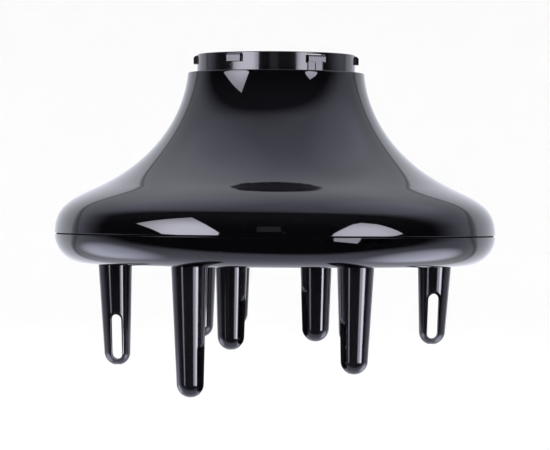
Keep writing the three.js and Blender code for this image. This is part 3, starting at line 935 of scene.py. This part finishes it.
def make_tent():
    """The white light tent that the gloss mirrors: open in front, with a sewn back panel."""
    tent = ball_mesh("stage_tent", TENT_RADIUS, TENT_HEIGHT)
    n = Nodes("stage_tent_cloth")
    position = n.add("NewGeometry").outputs["Position"]
    centre = (0, 0, (SEAM_Z + TENT_HEIGHT) * MM)
    unit = n.vector_maths("NORMALIZE", n.vector_maths("SUBTRACT", position, centre)).outputs[0]
    x, y, z = n.xyz(position)
    height = n.maths("SUBTRACT", z, SEAM_Z * MM)

    cloth = tent_cloth(n, x, y, height)
    light = n.maths("MULTIPLY", cloth_light(n, x, y, height), cloth)
    for azimuth, elevation, strength, inner, outer in TENT_PATCHES:
        patch = n.maths("MULTIPLY", spot(n, unit, azimuth, elevation, inner, outer), strength)
        light = n.maths("ADD", light, patch)
    hole = oval(n, unit, HOLE_ELEVATION, HOLE_HALF_WIDTH, HOLE_HALF_HEIGHT)
    light = n.dimmed(light, n.maths("MULTIPLY", hole, HOLE_SHADE))

    tint = n.mix(n.ramp(y, *TINT_DEPTHS), TENT_TINT, BACK_TINT)
    shine = n.add("Emission", {"Color": tint, "Strength": light})
    clear = n.add("BsdfTransparent")
    mix = n.add("MixShader", {"Fac": n.ramp(cloth, 0.0, 0.15), 1: clear, 2: shine})
    n.feed(n.output.inputs["Surface"], mix)
    tent.data.materials.append(n.made)


def only_in(card, words):
    """Lets a card show only in the pieces whose names hold one of the words."""
    receivers = bpy.data.collections.new(card.name + "_receivers")
    for obj in bpy.context.scene.objects:
        if any(word in obj.name for word in words):
            receivers.objects.link(obj)
    card.light_linking.receiver_collection = receivers


def make_card(name, corners, strength, hot_spot=None, receivers=()):
    """A soft box, even or with a hot spot of (strength, middle, reach in metres)."""
    card = new_object(name, corners, [list(range(len(corners)))])
    mirrored_only(card)
    n = Nodes(name + "_glow")
    if hot_spot:
        bright, (x, y, z), reach = hot_spot
        position = n.add("NewGeometry").outputs["Position"]
        middle = (x * MM, y * MM, (z + SEAM_Z) * MM)
        far = n.vector_maths("DISTANCE", position, middle).outputs["Value"]
        strength = n.ramp(far, HOT_SPOT_CORE, reach, bright, strength)
    shine = n.add("Emission", {"Color": (*CARD_TINT, 1), "Strength": strength})
    n.feed(n.output.inputs["Surface"], shine)
    card.data.materials.append(n.made)
    if receivers:
        only_in(card, receivers)


def make_collar_card(name, azimuths, strength):
    """A far soft box between two azimuths from the front, seen only in the collar."""
    corners = []
    for azimuth, heights in zip(azimuths, (FAR_CARD_HEIGHTS, FAR_CARD_HEIGHTS[::-1])):
        x, y = polar(FAR_CARD, math.radians(azimuth - 90))
        corners += [(x, y, height) for height in heights]
    make_card(name, corners, strength, receivers=("collar", "tongue"))


def make_cards():
    """The soft boxes beside the camera, each with the outline that its reflection has."""
    make_card("stage_card_left", [
        (-312, -316, 310), (-435, -150, 127), (-412, -235, 60), (-400, -285, 10), (-345, -330, -8),
        (-205, -426, -8), (-203, -428, 30),
    ], 5.2, (11.0, (-300, -350, 30), 0.26))
    make_card("stage_card_right", [
        (369, -373, 232), (330, -402, 190), (249, -461, 27), (243, -470, -15), (425, -285, -15),
        (462, -218, 27), (413, -317, 189),
    ], 5.5, (10.0, (340, -370, 20), 0.26))
    make_card("stage_card_low", [
        (237, -440, -20), (245, -440, -130), (332, -370, -190), (332, -370, -20),
    ], 5.8)
    make_card("stage_card_front", [
        (-94, -670, 67), (42, -670, 67), (42, -670, 187), (-94, -670, 187),
    ], 0.3)
    make_card("stage_finger_left", [
        (-345, -330, -12), (-340, -335, -160), (-292, -368, -160), (-292, -368, -12),
    ], 4.5, receivers=("prong",))
    make_card("stage_finger_right", [
        (240, -518, -18), (240, -518, -200), (459, -283, -200), (459, -283, -18),
    ], 3.0, (15.0, (440, -305, -75), 0.32), ("prong",))
    make_collar_card("stage_collar_left", (-33.0, -24.4), 9.0)
    make_collar_card("stage_collar_right", (29.8, 37.0), 8.0)


def make_room():
    """The dark studio beyond the tent's opening."""
    room = ball_mesh("stage_room", ROOM_RADIUS, 0.0)
    n = Nodes("stage_room_dark")
    position = n.add("NewGeometry").outputs["Position"]
    glow = n.ramp(n.xyz(position)["Z"], *ROOM_GLOW)
    shine = n.add("Emission", {"Color": (*ROOM_TINT, 1), "Strength": glow})
    n.feed(n.output.inputs["Surface"], shine)
    room.data.materials.append(n.made)


def make_floor():
    """A pale floor that curves up into a wall all round; it can be seen through from below."""
    low = -FLOOR_DROP
    profile = []
    for degrees in range(0, 91, 5):
        turn = math.radians(degrees)
        out, up = COVE_RADIUS * math.sin(turn), COVE_RADIUS * (1 - math.cos(turn))
        profile.append((FLOOR_RADIUS + out, low + up))
    profile.append((FLOOR_RADIUS + COVE_RADIUS, low + WALL_HEIGHT))
    steps = 96
    vertices, faces = [(0, 0, low)], []
    for radius, height in profile:
        vertices += [(*polar(radius, 2 * math.pi * k / steps), height) for k in range(steps)]
    for k in range(steps):
        following = (k + 1) % steps
        faces.append([0, 1 + k, 1 + following])
        for row in range(len(profile) - 1):
            a, b = 1 + row * steps, 1 + (row + 1) * steps
            faces.append([a + k, b + k, b + following, a + following])
    floor = new_object("stage_floor", vertices, faces)
    floor.data.shade_smooth()
    hide_from(floor, "glossy")
    n = Nodes("stage_pale_floor")
    pale = n.add("BsdfDiffuse", {"Color": (*FLOOR_COLOUR, 1)})
    clear = n.add("BsdfTransparent")
    behind = n.add("NewGeometry").outputs["Backfacing"]
    n.feed(n.output.inputs["Surface"], n.add("MixShader", {"Fac": behind, 1: pale, 2: clear}))
    floor.data.materials.append(n.made)


def make_world():
    """Even white light from all round, which the gloss doesn't mirror."""
    world = bpy.data.worlds.new("stage_world")
    bpy.context.scene.world = world
    world.use_nodes = True
    background = world.node_tree.nodes["Background"]
    background.inputs["Color"].default_value = (1, 1, 1, 1)
    background.inputs["Strength"].default_value = WORLD_STRENGTH
    world.cycles_visibility.glossy = False


def make_camera():
    """A long lens a metre away, a little above the seam."""
    data = bpy.data.cameras.new("camera")
    data.lens = CAMERA_LENS
    camera = bpy.data.objects.new("camera", data)
    bpy.context.scene.collection.objects.link(camera)
    bpy.context.scene.camera = camera
    azimuth, pitch, roll = (math.radians(turn) for turn in CAMERA_TURNS)
    x, y = polar(CAMERA_DISTANCE, azimuth - math.pi / 2)
    camera.location = (x * MM, y * MM, (CAMERA_HEIGHT + SEAM_Z) * MM)
    aim = Matrix.Rotation(azimuth, 3, "Z") @ Matrix.Rotation(math.pi / 2 + pitch, 3, "X")
    camera.rotation_euler = (aim @ Matrix.Rotation(roll, 3, "Z")).to_euler()


make_tent()
make_cards()
make_room()
make_floor()
make_world()
make_camera()
bpy.context.scene.view_settings.view_transform = "Standard"
bpy.context.scene.view_settings.look = "None"
